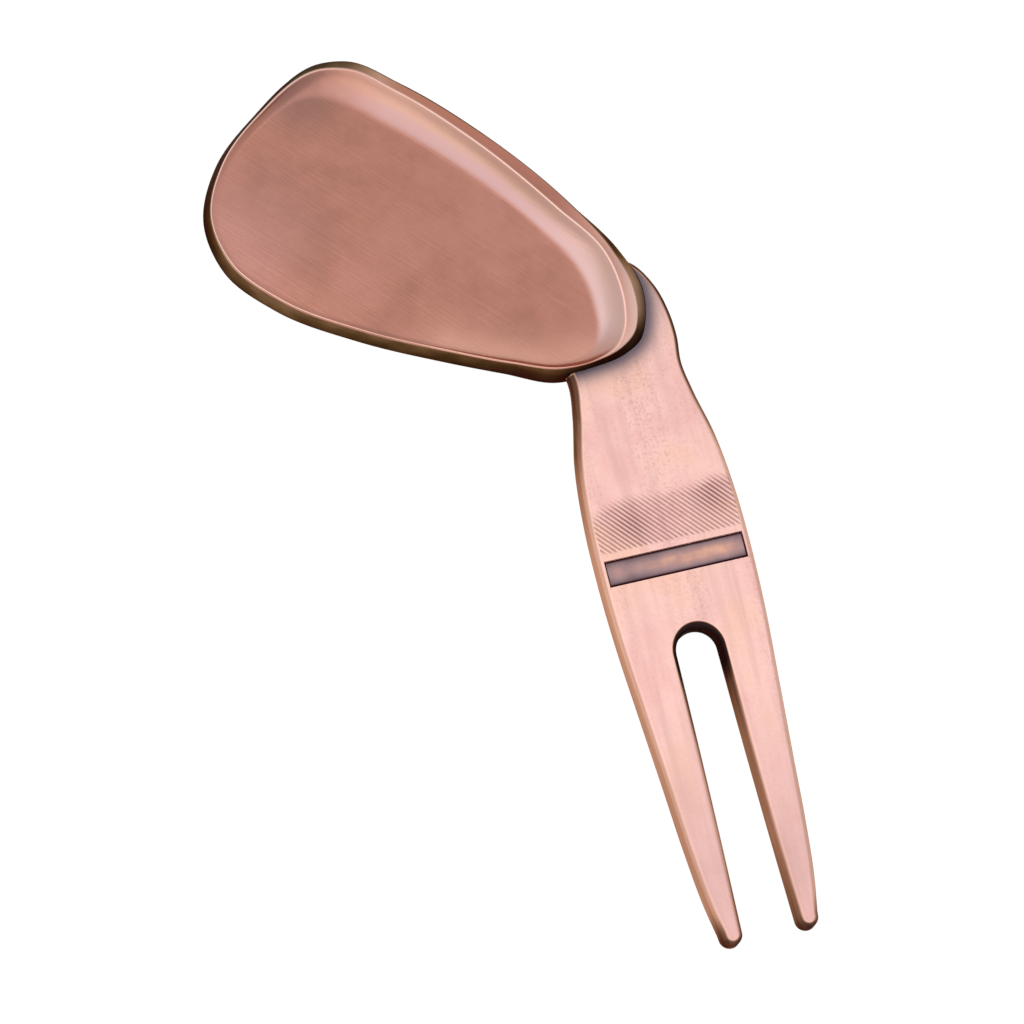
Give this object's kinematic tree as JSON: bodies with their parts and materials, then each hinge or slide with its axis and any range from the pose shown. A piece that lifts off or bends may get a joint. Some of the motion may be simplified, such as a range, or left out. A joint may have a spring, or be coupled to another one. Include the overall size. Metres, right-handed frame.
{
  "type": "divot repair tool",
  "caption": "Flat fork-shaped divot repair tool with tapered tines, a short shank and a dished head shaped like a golf iron, in antiqued copper.",
  "frame": {"origin": "middle of the overall length and width, on the flat back that the tool rests on", "axes": "+Z out of the front face, +Y from the tine tips to the head, +X towards the side of the neck that the head leans away from"},
  "size_m": [0.046, 0.0966, 0.0049],
  "materials": {
    "blade_copper": "antiqued copper plate on a zinc casting, relieved bright, fine lengthwise brushing",
    "head_copper": "antiqued copper plate on a zinc casting, brown patina left in the dish, satin brushed",
    "inlay_dark": "blackened copper strip with a rubbed, faintly coppery middle",
    "pin_copper": "copper-plated pin, faced flush with the back"
  },
  "bodies": {
    "root": {"fork_blade": "blade_copper", "club_head": "head_copper", "band_inlay": "inlay_dark", "tang_pin_lower": "pin_copper", "tang_pin_upper": "pin_copper"}
  },
  "joints": []
}
